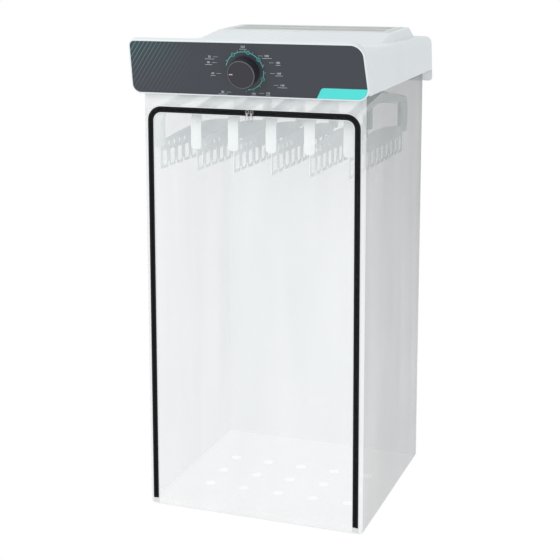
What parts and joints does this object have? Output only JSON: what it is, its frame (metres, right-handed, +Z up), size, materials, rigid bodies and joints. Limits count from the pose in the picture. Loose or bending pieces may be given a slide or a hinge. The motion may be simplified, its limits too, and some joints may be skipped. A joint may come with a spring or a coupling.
{
  "type": "wall-hung bag clothes dryer",
  "caption": "Wall-hung warm-air clothes dryer: a head with a leaning control panel and timer knob over a zipped film bag with sliding comb hangers.",
  "frame": {"origin": "centre of the wall bracket's hole pattern, on the wall plane", "axes": "+Z up, +Y into the wall, -Y to the front, +X to the right seen from the front"},
  "size_m": [0.5989, 0.6976, 1.2223],
  "materials": {
    "white_plastic": "semi-gloss",
    "grille_plastic": "satin",
    "panel_plastic": "fine satin",
    "knob_plastic": "satin",
    "accent_plastic": "satin",
    "pointer_plastic": "satin",
    "film": "clear, soft gloss",
    "hem_elastic": "woven",
    "zip_tape": "woven with moulded teeth",
    "zip_patch": "woven",
    "zip_metal": "satin",
    "hanger_plastic": "satin",
    "zinc_steel": "zinc plated",
    "duct_metal": "plain",
    "motor_metal": "satin",
    "fan_plastic": "satin",
    "heater_metal": "heat-toned",
    "black_plastic": "satin",
    "cream_plastic": "satin"
  },
  "bodies": {
    "head": {"top_cover": "white_plastic", "inlet_grille": "grille_plastic", "front_fascia": "white_plastic", "control_panel": "panel_plastic", "accent_strip": "accent_plastic", "timer_switch": "cream_plastic", "rear_plate": "white_plastic", "wall_bracket": "zinc_steel", "base_tray": "white_plastic", "fan_shroud": "duct_metal", "motor_bracket": "zinc_steel", "fan_motor": "motor_metal", "heater_frame": "heater_metal", "heater_element": "heater_metal", "outlet_grille": "grille_plastic", "thermostat": "black_plastic", "thermal_fuse": "cream_plastic", "terminal_block": "cream_plastic", "cord_gland": "black_plastic", "bag_front_surround": "film", "bag_left_wall": "film", "bag_right_wall": "film", "bag_rear_wall": "film", "bag_floor": "film", "bag_hem_band": "hem_elastic", "zip_outer_half": "zip_tape", "zip_end_patches": "zip_patch", "hanger_rail": "zinc_steel"},
    "knob": {"timer_knob": "knob_plastic", "timer_shaft": "zinc_steel", "knob_marker": "pointer_plastic"},
    "fan": {"fan_shaft": "zinc_steel", "fan_impeller": "fan_plastic"},
    "flap": {"bag_flap": "film", "zip_inner_half": "zip_tape"},
    "left_slider": {"zip_slider_left": "zip_metal"},
    "right_slider": {"zip_slider_right": "zip_metal"},
    "left_pull": {"zip_pull_left": "zip_metal"},
    "right_pull": {"zip_pull_right": "zip_metal"},
    "hanger_1": {"hanger_frame_1": "hanger_plastic", "hanger_comb_1": "hanger_plastic"},
    "hanger_2": {"hanger_frame_2": "hanger_plastic", "hanger_comb_2": "hanger_plastic"},
    "hanger_3": {"hanger_frame_3": "hanger_plastic", "hanger_comb_3": "hanger_plastic"},
    "hanger_4": {"hanger_frame_4": "hanger_plastic", "hanger_comb_4": "hanger_plastic"},
    "hanger_5": {"hanger_frame_5": "hanger_plastic", "hanger_comb_5": "hanger_plastic"},
    "hanger_6": {"hanger_frame_6": "hanger_plastic", "hanger_comb_6": "hanger_plastic"}
  },
  "joints": [
    {"name": "knob_turn", "type": "hinge", "parent": "head", "child": "knob", "pos_m": [0, -0.66216, 0.0055], "axis": [0, 0.9646, 0.2639], "range_deg": [0, 330]},
    {"name": "fan_spin", "type": "hinge", "parent": "head", "child": "fan", "pos_m": [0, -0.172, 0.02], "axis": [0, 0, 1], "continuous": true},
    {"name": "flap_open", "type": "hinge", "parent": "head", "child": "flap", "pos_m": [0, -0.6227, -1.118], "axis": [1, 0, 0], "range_deg": [0, 170]},
    {"name": "left_slider_run", "type": "slide", "parent": "flap", "child": "left_slider", "axis": [-1, 0, 0], "range_m": [0, 0.22]},
    {"name": "right_slider_run", "type": "slide", "parent": "flap", "child": "right_slider", "axis": [1, 0, 0], "range_m": [0, 0.22]},
    {"name": "left_pull_swing", "type": "hinge", "parent": "left_slider", "child": "left_pull", "pos_m": [-0.0095, -0.6264, -0.0973], "axis": [-1, 0, 0], "range_deg": [0, 150]},
    {"name": "right_pull_swing", "type": "hinge", "parent": "right_slider", "child": "right_pull", "pos_m": [0.0015, -0.6264, -0.0973], "axis": [-1, 0, 0], "range_deg": [0, 150]},
    {"name": "hanger_1_slide", "type": "slide", "parent": "head", "child": "hanger_1", "axis": [1, 0, 0], "range_m": [-0.005, 0.03]},
    {"name": "hanger_2_slide", "type": "slide", "parent": "head", "child": "hanger_2", "axis": [1, 0, 0], "range_m": [-0.03, 0.03]},
    {"name": "hanger_3_slide", "type": "slide", "parent": "head", "child": "hanger_3", "axis": [1, 0, 0], "range_m": [-0.03, 0.03]},
    {"name": "hanger_4_slide", "type": "slide", "parent": "head", "child": "hanger_4", "axis": [1, 0, 0], "range_m": [-0.03, 0.03]},
    {"name": "hanger_5_slide", "type": "slide", "parent": "head", "child": "hanger_5", "axis": [1, 0, 0], "range_m": [-0.03, 0.03]},
    {"name": "hanger_6_slide", "type": "slide", "parent": "head", "child": "hanger_6", "axis": [1, 0, 0], "range_m": [-0.03, 0.03]}
  ]
}
